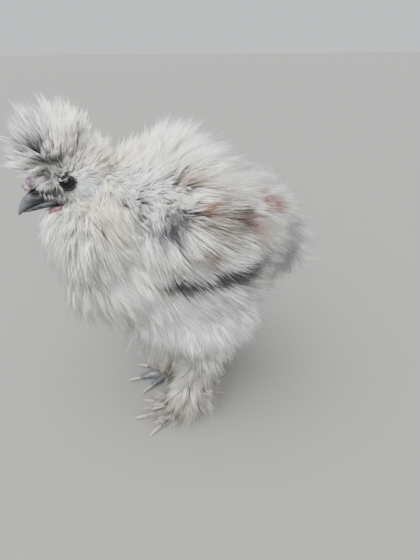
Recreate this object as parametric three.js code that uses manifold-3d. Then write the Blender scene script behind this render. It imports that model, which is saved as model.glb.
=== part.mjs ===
/*
 * A silkie chicken, life size, standing still with its neck drawn in and its bill low.
 *
 * Units are millimetres. The bird faces -X, its left side is towards -Y, and +Z is up. It is modelled
 * with the ground at z = 0, and at the end the whole bird is shifted so that the origin is the middle
 * of its bounding box on the ground.
 *
 * Each fleshy sub-part is a loft: elliptical rings on a smooth spine. Its plumage, which on this breed
 * hangs like long silky hair, is a set of flat, bent, tapered locks rooted in that loft. A lock that
 * would come too near another sub-part is lifted and shortened until it is clear.
 */
import * as THREE from "three";
import { mergeVertices } from "three/addons/utils/BufferGeometryUtils.js";
import Module from "manifold-3d";

const wasm = await Module();
wasm.setup();
const { Manifold, Mesh } = wasm;

// Driving dimensions
const bodyHeight = 151; // height of the body's middle above the ground
const bodyMiddle = -24; // x of the body's middle
const bodyHalfLength = 82;
const bodyHalfDepth = 71;
const bodyHalfWidth = 61;
const headHalfWidth = 14;
const eyeRadius = 6.2;
const footSpread = 24; // from the middle of the body to the middle of each foot
const toeRadius = 4.2;
const gap = 0.3; // between neighbouring sub-parts

const vec = (x, y, z) => new THREE.Vector3(x, y, z);
const sides = [
  ["left", -1],
  ["right", 1],
];

// Seeded random numbers from 0 to 1, so that every run makes the same bird
function seeded(seed) {
  let state = seed;
  return () => {
    state = (state * 1664525 + 1013904223) % 4294967296;
    return state / 4294967296;
  };
}

// A closed solid from a three.js geometry
function solidOf(geometry) {
  geometry.deleteAttribute("normal");
  geometry.deleteAttribute("uv");
  const merged = mergeVertices(geometry, 1e-3);
  return new Manifold(
    new Mesh({
      numProp: 3,
      vertProperties: merged.attributes.position.array,
      triVerts: new Uint32Array(merged.index.array),
    }),
  );
}

// The largest closed surface of a solid: loose scraps and sealed hollows are left out
function largest(solid) {
  return solid.decompose().reduce((best, body) => (body.volume() > best.volume() ? body : best));
}

// Elliptical rings on a smooth spine. A ring is [x, y, z, half depth, half width].
class Loft {
  constructor(rings, { fullness = 0.8, around = 18, along = 10 } = {}) {
    this.spine = new THREE.CatmullRomCurve3(rings.map(([x, y, z]) => vec(x, y, z)));
    this.sizes = new THREE.CatmullRomCurve3(rings.map(([, , , deep, wide]) => vec(deep, wide, 0)));
    Object.assign(this, { fullness, around, along });
  }

  // The surface point at share u of the spine, in the direction (side, up) across it
  point(u, side, up, grow = 0) {
    const forward = this.spine.getTangent(u);
    const across = vec(0, 1, 0).addScaledVector(forward, -forward.y).normalize();
    const above = vec(0, 0, 0).crossVectors(forward, across);
    const size = this.sizes.getPoint(u);
    const ball = Math.sqrt(Math.max(0, 4 * u * (1 - u)));
    const round = Math.pow(ball, this.fullness);
    return this.spine
      .getPoint(u)
      .addScaledVector(across, side * (size.y * round + grow * ball))
      .addScaledVector(above, up * (size.x * round + grow * ball))
      .addScaledVector(forward, grow * (2 * u - 1));
  }

  // The solid itself, or one whose surface stands `grow` further out
  solid(grow = 0) {
    const geometry = new THREE.SphereGeometry(1, this.around, this.along);
    const position = geometry.attributes.position;
    for (let i = 0; i < position.count; i++) {
      const axis = THREE.MathUtils.clamp(position.getY(i), -1, 1);
      const radius = Math.max(Math.sqrt(1 - axis * axis), 1e-6);
      const u = (1 - axis) / 2;
      const p = this.point(u, position.getX(i) / radius, position.getZ(i) / radius, grow);
      position.setXYZ(i, p.x, p.y, p.z);
    }
    return solidOf(geometry);
  }

  // The surface point at angle `turn` round the spine, and the way out of the surface there
  root(u, turn) {
    const at = (v, t) => this.point(v, Math.cos(t), Math.sin(t));
    const step = 0.01;
    const alongSpine = at(u + step, turn).sub(at(u - step, turn));
    const round = at(u, turn + step).sub(at(u, turn - step));
    return { at: at(u, turn), out: vec(0, 0, 0).crossVectors(round, alongSpine).normalize() };
  }
}

function ellipsoid(centre, radii, { grow = 0, turn = [0, 0, 0], around = 10, along = 6 } = {}) {
  const geometry = new THREE.SphereGeometry(1, around, along);
  geometry.scale(...radii.map((r) => r + grow));
  geometry.applyMatrix4(new THREE.Matrix4().makeRotationFromEuler(new THREE.Euler(...turn)));
  geometry.translate(...centre);
  return solidOf(geometry);
}

/*
 * A flat lock or vane with a low ridge. It leaves the surface point `at` along `lie`, raised by the
 * angle `lift` towards `out`, and bends by the vector `bend` towards its tip. It is widest past the
 * middle, more so where `blunt` is high, and its root is sunk into the surface.
 */
function lock(spec) {
  const { at, out, lie, length, width, thick, lift, bend } = spec;
  const { sink = 5, blunt = 0.7, back = 0, steps = 3 } = spec;
  const level = lie.clone().addScaledVector(out, -lie.dot(out)).normalize();
  const root = at.clone().addScaledVector(out, -1).addScaledVector(level, -back);
  const side = vec(0, 0, 0).crossVectors(level, out);
  const start = level.clone().multiplyScalar(Math.cos(lift)).addScaledVector(out, Math.sin(lift));
  const geometry = new THREE.ConeGeometry(1, 1, 3, steps);
  const position = geometry.attributes.position;
  for (let i = 0; i < position.count; i++) {
    const s = position.getY(i) + 0.5;
    const ring = Math.max(1 - s, 1e-6);
    const reach = s * (length + sink) - sink;
    const share = Math.max(0, reach / length);
    const taper = s < 1 ? (0.4 + 1.5 * s) * Math.pow(1 - s, 1 - blunt) : 0;
    const tangent = start.clone().addScaledVector(bend, 2 * share).normalize();
    const above = vec(0, 0, 0).crossVectors(side, tangent).normalize();
    const p = root
      .clone()
      .addScaledVector(start, reach)
      .addScaledVector(bend, length * share * share)
      .addScaledVector(side, (position.getX(i) / ring) * taper * (width * 0.58))
      .addScaledVector(above, (position.getZ(i) / ring) * taper * (thick * 0.67));
    position.setXYZ(i, p.x, p.y, p.z);
  }
  return solidOf(geometry);
}

/*
 * Roots in staggered rows on a loft. The rows go from `from` to `to`, which are angles from one end of
 * the loft (0) to the other (pi), and the fullest row has `most` roots spread over the arc `arc`, whose
 * middle is at the angle `towards` round the spine.
 */
function rowsOn(loft, { rows, most, from, to, towards = 0, arc = 2 * Math.PI, random }) {
  const roots = [];
  for (let row = 0; row < rows; row++) {
    const angle = rows > 1 ? from + ((to - from) * row) / (rows - 1) : from;
    const u = (1 - Math.cos(angle)) / 2;
    const count = Math.max(1, Math.round(most * Math.sin(angle)));
    for (let i = 0; i < count; i++) {
      const share = (i + 0.25 + (row % 2) / 2 + 0.24 * (random() - 0.5)) / count;
      roots.push(loft.root(u, towards + arc * (share - 0.5)));
    }
  }
  return roots;
}

// Lofts of the fleshy sub-parts
const torso = new Loft(
  [
    [bodyMiddle - bodyHalfLength, 0, bodyHeight - 20, 0.56 * bodyHalfDepth, 0.7 * bodyHalfWidth],
    [bodyMiddle - bodyHalfLength / 2, 0, bodyHeight - 4, 0.8 * bodyHalfDepth, 0.82 * bodyHalfWidth],
    [bodyMiddle, 0, bodyHeight, bodyHalfDepth, bodyHalfWidth],
    [bodyMiddle + bodyHalfLength / 2, 0, bodyHeight + 7, 0.76 * bodyHalfDepth, 0.95 * bodyHalfWidth],
    [bodyMiddle + bodyHalfLength, 0, bodyHeight + 13, 0.57 * bodyHalfDepth, 0.74 * bodyHalfWidth],
  ],
  { around: 20, along: 12 },
);

const neck = new Loft(
  [
    [-67, 0, 214, 12, 13],
    [-65, 0, 198, 19, 24],
    [-74, 0, 175, 46, 47],
    [-63, 0, 144, 51, 52],
  ],
  { around: 16 },
);

const head = new Loft(
  [
    [-72, 0, 208, 16, 13],
    [-84, 0, 210, 18, headHalfWidth + 1],
    [-97, 0, 207, 16.5, headHalfWidth + 1],
    [-112, 0, 199, 12, 9],
  ],
  { around: 16 },
);

const tail = new Loft(
  [
    [36, 0, 160, 22, 28],
    [50, 0, 149, 20, 27],
    [59, 0, 130, 12, 18],
  ],
  { around: 12, along: 8 },
);

const wing = (side) =>
  new Loft(
    [
      [-62, side * 50, 179, 16, 9],
      [-40, side * 60, 173, 26, 10],
      [-8, side * 63, 167, 27, 10],
      [22, side * 57, 160, 16, 8],
    ],
    { fullness: 0.6, around: 12 },
  );

const thigh = (side) =>
  new Loft(
    [
      [-10, side * 30, 142, 32, 22],
      [-12, side * 36, 108, 33, 25],
      [-14, side * 31, 74, 19, 16],
    ],
    { around: 14, along: 8 },
  );

const shank = (side) =>
  new Loft(
    [
      [-8, side * 29, 84, 11, 10],
      [-17, side * 27, 50, 8.5, 8],
      [-26, side * 25, 24, 8, 7.5],
      [-31, side * footSpread, 3, 11, 11],
    ],
    { fullness: 0.4, around: 12, along: 8 },
  );

const upperBill = new Loft(
  [
    [-103, 0, 199.5, 7.5, 8],
    [-114, 0, 197, 6.6, 6.2],
    [-124, 0, 192, 4.6, 4],
    [-131, 0, 183, 1.6, 1.4],
  ],
  { fullness: 0.6, around: 12, along: 8 },
);
const lowerBill = new Loft(
  [
    [-100, 0, 191.5, 4.6, 7.4],
    [-112, 0, 189, 3.4, 5.2],
    [-121, 0, 186, 2.2, 3],
    [-127, 0, 183.5, 1, 1.4],
  ],
  { fullness: 0.6, around: 10, along: 7 },
);

// Toes: four on the ground, and the breed's extra one, which curls up behind
const toes = [
  { name: "middle", tip: [-63, 0, 2.4], radius: 1 },
  { name: "outer", tip: [-54, 15, 2.2], radius: 0.9 },
  { name: "inner", tip: [-54, -14, 2.2], radius: 0.9 },
  { name: "hind", tip: [-10, -8, 2], radius: 0.85 },
  { name: "extra", tip: [-9, -2, 19], radius: 0.75 },
];
const toeLoft = (toe, side) => {
  const [x, outward, z] = toe.tip;
  const r = toeRadius * toe.radius;
  const base = [-31, side * footSpread, 6.5];
  const tip = [x, side * (footSpread + outward), z];
  const middle = base.map((b, i) => (b + tip[i]) / 2);
  return new Loft(
    [
      [...base, r * 1.2, r * 1.2],
      [middle[0], middle[1], middle[2] - 1.4, r, r],
      [...tip, r * 0.8, r * 0.8],
    ],
    { fullness: 0.3, around: 8, along: 5 },
  );
};
const clawLoft = (toe, side) => {
  const [x, outward, z] = toe.tip;
  const way = vec(x + 31, side * outward, 0).normalize();
  const at = (reach, drop) => [
    x + way.x * reach,
    side * (footSpread + outward) + way.y * reach,
    z - drop,
  ];
  const low = Math.min(z, 4);
  return new Loft(
    [
      [...at(-2, 0), 2, 1.8],
      [...at(5, low * 0.1), 1.7, 1.4],
      [...at(11, low * 0.6), 0.8, 0.7],
    ],
    { fullness: 0.5, around: 6, along: 4 },
  );
};

// Head: the lids stand up as a ring round each eye, and the nostrils are sunk in the bill
const eyeCentre = (side) => [-95.6, side * 9.6, 206.5];
const eye = (side, grow) =>
  ellipsoid(eyeCentre(side), [eyeRadius, eyeRadius, eyeRadius], { grow, around: 12, along: 8 });
function lids(side, grow) {
  const ring = new THREE.TorusGeometry(eyeRadius - 0.4, 1.2 + grow, 4, 10);
  ring.rotateX(side * -Math.PI / 2 + side * 0.12);
  ring.rotateZ(side * 0.14);
  const [x, y, z] = eyeCentre(side);
  ring.translate(x, y + side * 3.5, z);
  return solidOf(ring);
}
const headWithLids = (grow) =>
  Manifold.union([head.solid(grow), ...sides.map(([, side]) => lids(side, grow))]);
const nostril = (side) =>
  ellipsoid([-117.5, side * 5.6, 197.5], [2.4, 1.3, 1], { around: 6, along: 4 });
const billWithNostrils = (grow) =>
  Manifold.difference([upperBill.solid(grow), ...sides.map(([, side]) => nostril(side))]);
const lobe = (side, grow) =>
  ellipsoid([-80, side * 15.8, 200], [4.6, 2.6, 5.6], { grow, turn: [0, 0.2, side * -0.2] });
const wattle = (side, grow) =>
  ellipsoid([-104.5, side * 7.6, 187.2], [6.4, 2, 3.4], { grow, turn: [0, -0.3, side * 0.2] });
const comb = (grow) =>
  Manifold.union(
    [
      [-113, 0, 207.5, 4.4],
      [-117, -2.7, 204, 3.4],
      [-117, 2.7, 204, 3.4],
      [-121.5, 0, 200.5, 3.2],
      [-110.5, -4, 207.5, 3],
      [-110.5, 4, 207.5, 3],
    ].map(([x, y, z, r]) => ellipsoid([x, y, z], [r, r, r], { grow, around: 7, along: 4 })),
  );
const crestCentre = vec(-101, 0, 226);
const crestCore = (grow) =>
  ellipsoid(crestCentre.toArray(), [18.5, 15, 11.5], { grow, turn: [0, -0.2, 0], around: 12, along: 8 });

/*
 * Every sub-part's core as a function that makes it with its surface `grow` further out. Each one gives
 * way to those above it in this list, so its solid is cut by theirs grown by the gap.
 */
const onGround = (solid, level) => solid.trimByPlane([0, 0, 1], level);
const eachSide = (part) => sides.map(([name, side]) => part(name, side));
const plan = [
  ...eachSide((name, side) => [`eye_${name}`, (grow) => eye(side, grow)]),
  ["head", headWithLids],
  ["beak_lower", (grow) => lowerBill.solid(grow)],
  ["beak_upper", billWithNostrils],
  ["comb", comb],
  ...eachSide((name, side) => [`wattle_${name}`, (grow) => wattle(side, grow)]),
  ...eachSide((name, side) => [`earlobe_${name}`, (grow) => lobe(side, grow)]),
  ["crest", crestCore],
  ["neck", (grow) => neck.solid(grow)],
  ...eachSide((name, side) => [`wing_${name}`, (grow) => wing(side).solid(grow)]),
  ...eachSide((name, side) => [`thigh_${name}`, (grow) => thigh(side).solid(grow)]),
  ["torso", (grow) => torso.solid(grow)],
  ["tail", (grow) => tail.solid(grow)],
  ...eachSide((name, side) => [`shank_${name}`, (grow) => onGround(shank(side).solid(grow), 0)]),
  ...toes.flatMap((toe) =>
    eachSide((name, side) => [
      `toe_${toe.name}_${name}`,
      (grow) => onGround(toeLoft(toe, side).solid(grow), 0),
    ]),
  ),
  ...toes.flatMap((toe) =>
    eachSide((name, side) => [
      `claw_${toe.name}_${name}`,
      (grow) => onGround(clawLoft(toe, side).solid(grow), 0.4),
    ]),
  ),
];

const solids = new Map();
const grownBefore = [];
for (const [name, whole] of plan) {
  solids.set(name, largest(Manifold.difference([whole(0), ...grownBefore])));
  grownBefore.push(whole(gap));
}

/*
 * The plumage. Each entry gives a sub-part's locks: where they are rooted, the way they lie, and their
 * size. The way a lock lies and its size may depend on its root. Locks dressed first win the space.
 */
const fall = vec(0.78, 0, -0.62); // backwards and down, the lie of the coat on the body
const onSide = (side, height) => (side > 0 ? height : Math.PI - height);

function crestLocks() {
  const random = seeded(11);
  const locks = [];
  const rows = [4, 9, 12, 14];
  rows.forEach((count, row) => {
    for (let i = 0; i < count; i++) {
      const polar = 0.14 + 0.44 * row + 0.1 * random();
      const turn = (2 * Math.PI * (i + (row % 2) / 2 + 0.3 * random())) / count;
      const flat = Math.sin(polar);
      const away = vec(flat * Math.cos(turn), flat * Math.sin(turn), Math.cos(polar));
      locks.push({
        at: crestCentre.clone().add(vec(16 * away.x, 13 * away.y, 9.5 * away.z)),
        out: vec(0, 0, 1).addScaledVector(away, -away.z + 1e-3).normalize(),
        lie: vec(away.x + 0.2, away.y, away.z - 0.13 * row),
        length: 18 + 4 * random() - 3.2 * row,
        width: 12.5,
        thick: 3,
        lift: 0.1 - 0.06 * row,
        bend: vec(0.06 + 0.1 * away.x, 0.1 * away.y, -0.12 - 0.1 * row),
        sink: 4,
        steps: 2,
      });
    }
  });
  return locks;
}

function headLocks() {
  const random = seeded(17);
  const roots = rowsOn(head, { rows: 2, most: 7, from: 0.7, to: 1.15, random });
  return roots.map((root) => ({
    ...root,
    lie: vec(0.5, 0.25 * root.out.y, -0.9),
    length: 15 + 4 * random(),
    width: 11,
    thick: 3,
    lift: 0.35,
    bend: root.out.clone().multiplyScalar(-0.1),
    sink: 4,
    steps: 2,
  }));
}

function neckLocks() {
  const random = seeded(23);
  const roots = rowsOn(neck, { rows: 5, most: 13, from: 0.55, to: 2.4, random });
  return roots.map((root) => ({
    ...root,
    lie: vec(root.out.x * 0.3 + 0.12, root.out.y * 0.2, -1),
    length: 30 + 8 * random(),
    width: 25,
    thick: 4,
    lift: 0.42,
    bend: root.out.clone().multiplyScalar(-0.26).add(vec(0, 0, -0.1)),
  }));
}

function torsoLocks() {
  const random = seeded(37);
  const roots = rowsOn(torso, { rows: 7, most: 12, from: 0.62, to: 2.75, random });
  return roots.map((root) => {
    const under = Math.max(0, -root.out.z);
    return {
      ...root,
      lie: fall.clone().add(vec(0.1 * (random() - 0.5), 0.2 * (random() - 0.5), 0)),
      length: 42 + 8 * random() + (root.at.x > 30 ? 6 : 0) + 8 * under,
      width: 26,
      thick: 5,
      lift: 0.6 + 0.15 * under,
      bend: root.out.clone().multiplyScalar(0.22 * under - 0.38).add(vec(0, 0, -0.04)),
    };
  });
}

function wingLocks(side) {
  const random = seeded(41);
  const tier = (count, from, to, height, size) =>
    Array.from({ length: count }, (_, i) => ({
      ...wing(side).root(from + ((to - from) * i) / (count - 1), onSide(side, height)),
      ...size(i / (count - 1)),
    }));
  return [
    ...tier(7, 0.3, 0.95, -0.95, (share) => ({
      lie: vec(0.9, 0, -0.62 + 0.42 * share),
      length: 40 + 8 * Math.sin(Math.PI * share),
      width: 13.5,
      thick: 2.6,
      lift: 0.2,
      bend: vec(0, side * -0.1, -0.1),
      blunt: 0.8,
    })),
    ...tier(5, 0.14, 0.85, -0.3, (share) => ({
      lie: vec(0.9, 0, -0.5 + 0.2 * share),
      length: 30 + 4 * random(),
      width: 18,
      thick: 3,
      lift: 0.48,
      bend: vec(0, side * -0.25, -0.08),
      steps: 2,
    })),
    ...tier(5, 0.06, 0.72, 0.45, (share) => ({
      lie: vec(0.9, 0, -0.45 + 0.2 * share),
      length: 30 + 4 * random(),
      width: 18,
      thick: 3,
      lift: 0.52,
      bend: vec(0, side * -0.3, -0.1),
      steps: 2,
    })),
  ];
}

function thighLocks(side) {
  const random = seeded(53);
  const roots = rowsOn(thigh(side), { rows: 3, most: 9, from: 1.25, to: 2.5, random });
  return roots.map((root) => ({
    ...root,
    lie: vec(0.25 + 0.2 * root.out.x, side * 0.1, -1),
    length: 27 + 6 * random(),
    width: 18,
    thick: 4,
    lift: 0.5,
    bend: root.out.clone().multiplyScalar(-0.26),
  }));
}

function tailLocks() {
  const random = seeded(67);
  const roots = rowsOn(tail, { rows: 3, most: 9, from: 1.75, to: 2.7, towards: Math.PI / 2, random });
  return roots.map((root) => ({
    ...root,
    lie: vec(0.5, 0.45 * root.out.y, -0.85),
    length: 32 + 7 * random(),
    width: 16,
    thick: 3.4,
    lift: 0.4,
    bend: vec(-0.2, 0, -0.36),
    blunt: 0.78,
  }));
}

function shankLocks(side) {
  const random = seeded(71);
  const roots = rowsOn(shank(side), {
    rows: 4,
    most: 4,
    from: 0.9,
    to: 2.5,
    towards: onSide(side, 0.5),
    arc: 4,
    random,
  });
  return roots.map((root) => ({
    ...root,
    lie: vec(0.4 + 0.8 * root.out.x, 0.7 * root.out.y, -0.1 - root.at.z / 60),
    length: 24 + 6 * random() + (root.at.z < 45 ? 11 : 0),
    width: 14,
    thick: 3,
    lift: 0.4,
    bend: vec(0, 0, -0.15),
    sink: 4,
    steps: 2,
  }));
}

function toeLocks(toe, side) {
  return [0.3, 0.5, 0.7].map((u) => ({
    ...toeLoft(toe, side).root(u, onSide(side, toe.name === "outer" ? -0.4 : -0.8)),
    lie: vec(-0.55, side * (toe.name === "outer" ? 0.8 : 0.25), 0.1),
    length: 15,
    width: 7,
    thick: 2.6,
    lift: 0.5,
    bend: vec(0, 0, -0.16),
    sink: 3,
    steps: 2,
  }));
}

/*
 * A lock keeps the gap to every other sub-part and to the ground. Where it would come nearer, it is
 * tried with its root moved along, raised more and shorter, and where nothing clears it is left out.
 */
const tries = [
  { size: 1, raise: 0, back: 0 },
  { size: 0.9, raise: 0, back: -7 },
  { size: 1, raise: 0.1, back: 5 },
  { size: 0.85, raise: 0.12, back: 9 },
  { size: 0.7, raise: 0.2, back: 4 },
  { size: 0.65, raise: 0.2, back: 11 },
  { size: 0.5, raise: 0.2, back: 6 },
];
function dress(name, locks) {
  const others = [...solids].filter(([other]) => other !== name).map(([, solid]) => solid);
  const clear = (solid) =>
    solid.boundingBox().min[2] >= gap && others.every((other) => other.minGap(solid, 2 * gap) >= gap);
  const kept = [];
  for (const spec of locks) {
    for (const { size, raise, back } of tries) {
      const solid = lock({ ...spec, length: spec.length * size, lift: spec.lift + raise, back });
      if (clear(solid)) {
        kept.push(solid);
        break;
      }
    }
  }
  solids.set(name, largest(Manifold.union([solids.get(name), ...kept])));
}

dress("crest", crestLocks());
dress("head", headLocks());
dress("neck", neckLocks());
for (const [name, side] of sides) {
  dress(`wing_${name}`, wingLocks(side));
  dress(`thigh_${name}`, thighLocks(side));
}
dress("tail", tailLocks());
dress("torso", torsoLocks());
for (const [name, side] of sides) {
  dress(`shank_${name}`, shankLocks(side));
  for (const toe of toes.slice(0, 2)) {
    dress(`toe_${toe.name}_${name}`, toeLocks(toe, side));
  }
}

// Colours and finishes
const plumage = { color: 0xc9c6c0, roughness: 0.85 };
const finishes = {
  torso: plumage,
  neck: { color: 0xd8d4c9, roughness: 0.85 },
  head: { color: 0xb9b8b5, roughness: 0.8 },
  tail: { color: 0xa9a7a6, roughness: 0.85 },
  wing: { color: 0xb9b1aa, roughness: 0.85 },
  crest: { color: 0xbfbcb8, roughness: 0.85 },
  thigh: { color: 0xcfd0cf, roughness: 0.85 },
  shank: { color: 0xb8b5ae, roughness: 0.85 },
  toe: { color: 0x6f7378, roughness: 0.6 },
  claw: { color: 0x9a958c, roughness: 0.4 },
  beak: { color: 0x4d5257, roughness: 0.45 },
  comb: { color: 0x9c8a99, roughness: 0.6 },
  wattle: { color: 0xa55f6a, roughness: 0.6 },
  earlobe: { color: 0xb7c4cb, roughness: 0.6 },
  eye: { color: 0x0c0c10, roughness: 0.1 },
};

const bird = new THREE.Group();
for (const [name, solid] of solids) {
  const { vertProperties, triVerts } = solid.getMesh();
  const geometry = new THREE.BufferGeometry();
  geometry.setAttribute("position", new THREE.BufferAttribute(vertProperties, 3));
  geometry.setIndex(new THREE.BufferAttribute(triVerts, 1));
  const finish = finishes[name.split("_")[0]];
  const mesh = new THREE.Mesh(geometry, new THREE.MeshStandardMaterial({ metalness: 0, ...finish }));
  mesh.name = name;
  bird.add(mesh);
}

// The origin is the middle of the bird's box, on the ground
const box = new THREE.Box3().setFromObject(bird, true);
const middle = box.getCenter(vec(0, 0, 0));
bird.position.set(-middle.x, -middle.y, -box.min.z);

const scene = new THREE.Group();
scene.add(bird);

export default scene;
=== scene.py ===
# %% [markdown]
# # A silkie chicken: skin, plumage and soft light
#
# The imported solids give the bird's size and pose. This script lays one skin over the fleshy parts, covers
# it with hair-like feathers in small tufts, and models the bill, the claws, the eyes and the bare flesh.
#
# The shapes are built in the bird's own millimetre frame, as the part's source is: the bird faces -X,
# its left side is towards -Y, and the ground is at z = 0. `place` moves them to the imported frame.

# %% Load the frame
import math
from functools import partial

import bmesh
import bpy
import numpy as np
from mathutils import Matrix, Vector
from mathutils.bvhtree import BVHTree
from mathutils.kdtree import KDTree


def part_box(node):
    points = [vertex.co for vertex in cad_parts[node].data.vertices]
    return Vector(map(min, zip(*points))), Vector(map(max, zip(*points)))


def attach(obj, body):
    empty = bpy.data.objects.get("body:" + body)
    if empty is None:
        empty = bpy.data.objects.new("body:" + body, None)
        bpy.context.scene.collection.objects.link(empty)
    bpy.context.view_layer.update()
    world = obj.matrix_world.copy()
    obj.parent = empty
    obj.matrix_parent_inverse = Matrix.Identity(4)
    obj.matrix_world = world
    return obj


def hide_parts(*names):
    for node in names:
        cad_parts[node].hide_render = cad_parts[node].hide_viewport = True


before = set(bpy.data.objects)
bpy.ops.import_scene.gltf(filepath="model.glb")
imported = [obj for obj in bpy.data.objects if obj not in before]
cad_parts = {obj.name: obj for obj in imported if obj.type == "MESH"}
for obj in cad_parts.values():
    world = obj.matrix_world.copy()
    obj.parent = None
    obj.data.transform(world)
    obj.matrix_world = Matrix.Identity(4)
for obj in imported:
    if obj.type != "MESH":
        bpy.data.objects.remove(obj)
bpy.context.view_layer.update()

# %% [markdown]
# ## The two frames
#
# The part's source shifts the whole bird along X so that its box is centred. The eye's centre tells how
# far: it is known in the bird's frame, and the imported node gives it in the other.

# %% From bird millimetres to scene metres
EYE = np.array([-95.6, 9.6, 206.5])  # the right eye's centre
EYE_RADIUS = 6.2
SIDES = (("left", -1.0), ("right", 1.0))

low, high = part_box("eye_right")
SHIFT = 500 * (low[0] + high[0]) - EYE[0]


def place(points):
    """Points in the bird's millimetres, as scene metres."""
    moved = np.array(points, float)
    moved[..., 0] += SHIFT
    return moved / 1000


print("shift along X, mm:", round(SHIFT, 2))

# %% [markdown]
# ## Lofts
#
# A living body has no straight or round parts, so most shapes are lofts: rows of elliptical rings on a
# smooth, bent spine, with rounded ends. No mesh operator makes them. A ring is x, y, z, half depth, half
# width. The skin's rings are those of the solids, drawn in by the depth of the coat's core.


# %% Loft helpers
def spline(values, t):
    """A centripetal Catmull-Rom curve through the rows of `values`, at shares `t` from 0 to 1."""
    values = np.asarray(values, float)
    last = len(values) - 1
    t = np.clip(np.asarray(t, float), 0, 1) * last
    k = np.minimum(t.astype(int), last - 1)
    w = (t - k)[..., None]
    padded = np.vstack([2 * values[0] - values[1], values, 2 * values[-1] - values[-2]])
    p0, p1, p2, p3 = (padded[k + i] for i in range(4))

    def knot(a, b):
        return np.maximum(((b - a) ** 2).sum(-1, keepdims=True) ** 0.25, 1e-4)

    d0, d1, d2 = knot(p0, p1), knot(p1, p2), knot(p2, p3)
    m1 = ((p1 - p0) / d0 - (p2 - p0) / (d0 + d1) + (p2 - p1) / d1) * d1
    m2 = ((p2 - p1) / d1 - (p3 - p1) / (d1 + d2) + (p3 - p2) / d2) * d1
    return p1 + w * m1 + w**2 * (3 * (p2 - p1) - 2 * m1 - m2) + w**3 * (2 * (p1 - p2) + m1 + m2)


def unit(v):
    """Vectors of length 1."""
    return v / np.maximum(np.linalg.norm(v, axis=-1, keepdims=True), 1e-9)


def stack(*columns):
    """Numbers and arrays as the columns of one array."""
    return np.stack(np.broadcast_arrays(*columns), axis=-1)


def wobble(points, size, seed):
    """A smooth random field, about -1 to 1, that changes over `size` millimetres."""
    draw = np.random.default_rng(seed)
    waves = draw.normal(size=(6, 3)) * (2 * np.pi / size) / np.sqrt(3)
    phases = draw.uniform(0, 2 * np.pi, len(waves))
    return np.sin(points @ waves.T + phases).sum(-1) / np.sqrt(len(waves))


def ramp(value, start, stop):
    """0 below `start`, 1 above `stop`, smooth between."""
    t = np.clip((value - start) / (stop - start), 0, 1)
    return t * t * (3 - 2 * t)


class Loft:
    """A closed body of rings on a spine. A lower fullness makes blunter ends."""

    def __init__(self, rings, fullness=0.8, inset=0.0):
        rings = np.array(rings, float)
        self.spine, self.sizes = rings[:, :3], rings[:, 3:]
        self.fullness, self.inset = fullness, inset

    def point(self, u, turn):
        """Surface points at shares u of the spine and angles round it."""
        u, turn = np.broadcast_arrays(np.asarray(u, float), np.asarray(turn, float))
        step = 1e-3
        forward = unit(spline(self.spine, u + step) - spline(self.spine, u - step))
        across = unit(np.array([0, 1, 0]) - forward * forward[..., 1:2])
        above = np.cross(forward, across)
        size = spline(self.sizes, u) - self.inset
        rounding = np.sqrt(np.clip(4 * u * (1 - u), 0, 1))[..., None] ** self.fullness
        return (
            spline(self.spine, u)
            + across * (np.cos(turn)[..., None] * size[..., 1:2] * rounding)
            + above * (np.sin(turn)[..., None] * size[..., 0:1] * rounding)
            - forward * (self.inset * (2 * u - 1))[..., None]
        )

    def grid(self, around, along):
        """Vertices and faces of the closed loft."""
        u = (1 - np.cos(np.pi * np.arange(1, along) / along)) / 2
        turn = 2 * np.pi * np.arange(around) / around
        body = self.point(u[:, None], turn[None, :]).reshape(-1, 3)
        ends = self.point(np.array([0.0, 1.0]), np.zeros(2))
        rows = along - 1
        first, final = len(body), len(body) + 1
        faces = []
        for j in range(around):
            k = (j + 1) % around
            faces.append((first, k, j))
            faces.append((final, (rows - 1) * around + j, (rows - 1) * around + k))
            faces += [
                (i * around + j, i * around + k, (i + 1) * around + k, (i + 1) * around + j)
                for i in range(rows - 1)
            ]
        return np.vstack([body, ends]), faces


UNIT_BALL = Loft([[-1, 0, 0, 1, 1], [0, 0, 0, 1, 1], [1, 0, 0, 1, 1]], fullness=1.0)


def ball(centre, radii, pitch=0.0, yaw=0.0):
    """Vertices and faces of an ellipsoid."""
    points, faces = UNIT_BALL.grid(32, 20)
    about = np.array(Matrix.Rotation(pitch, 3, "Y") @ Matrix.Rotation(yaw, 3, "Z"))
    return points @ np.diag(np.array(radii, float)) @ about.T + np.array(centre), faces


# %% [markdown]
# ## The fleshy parts
#
# Under its plumage the bird is a much smaller body. The wings lie folded, so they only swell the flanks a
# little. The toes are bare at their ends, so they keep the full size of the solids.

# %% Rings of every fleshy part
HEIGHT, MIDDLE, LONG, DEEP, WIDE = 151, -24, 82, 71, 61
torso = Loft(
    [
        [MIDDLE - LONG, 0, HEIGHT - 20, 0.56 * DEEP, 0.7 * WIDE],
        [MIDDLE - LONG / 2, 0, HEIGHT - 4, 0.8 * DEEP, 0.82 * WIDE],
        [MIDDLE, 0, HEIGHT, DEEP, WIDE],
        [MIDDLE + LONG / 2, 0, HEIGHT + 7, 0.76 * DEEP, 0.95 * WIDE],
        [MIDDLE + LONG, 0, HEIGHT + 13, 0.57 * DEEP, 0.74 * WIDE],
    ],
    inset=8,
)
neck = Loft(
    [[-67, 0, 214, 12, 13], [-65, 0, 198, 19, 24], [-73, 0, 175, 44, 47], [-62, 0, 145, 49, 52]],
    inset=8,
)
head = Loft(
    [[-72, 0, 208, 16, 13], [-84, 0, 210, 18, 15], [-97, 0, 206, 16.5, 15], [-116, 0, 197, 10.5, 9]],
    inset=1.2,
)
nape = Loft([[-90, 0, 198, 12, 12], [-68, 0, 194, 22, 32], [-40, 0, 178, 32, 52]], inset=4)
tail = Loft([[36, 0, 160, 22, 28], [50, 0, 149, 20, 27], [59, 0, 130, 12, 18]], inset=7)
SKULL = np.array([-101.0, 0.0, 223.0])  # the domed skull under the crest

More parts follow.
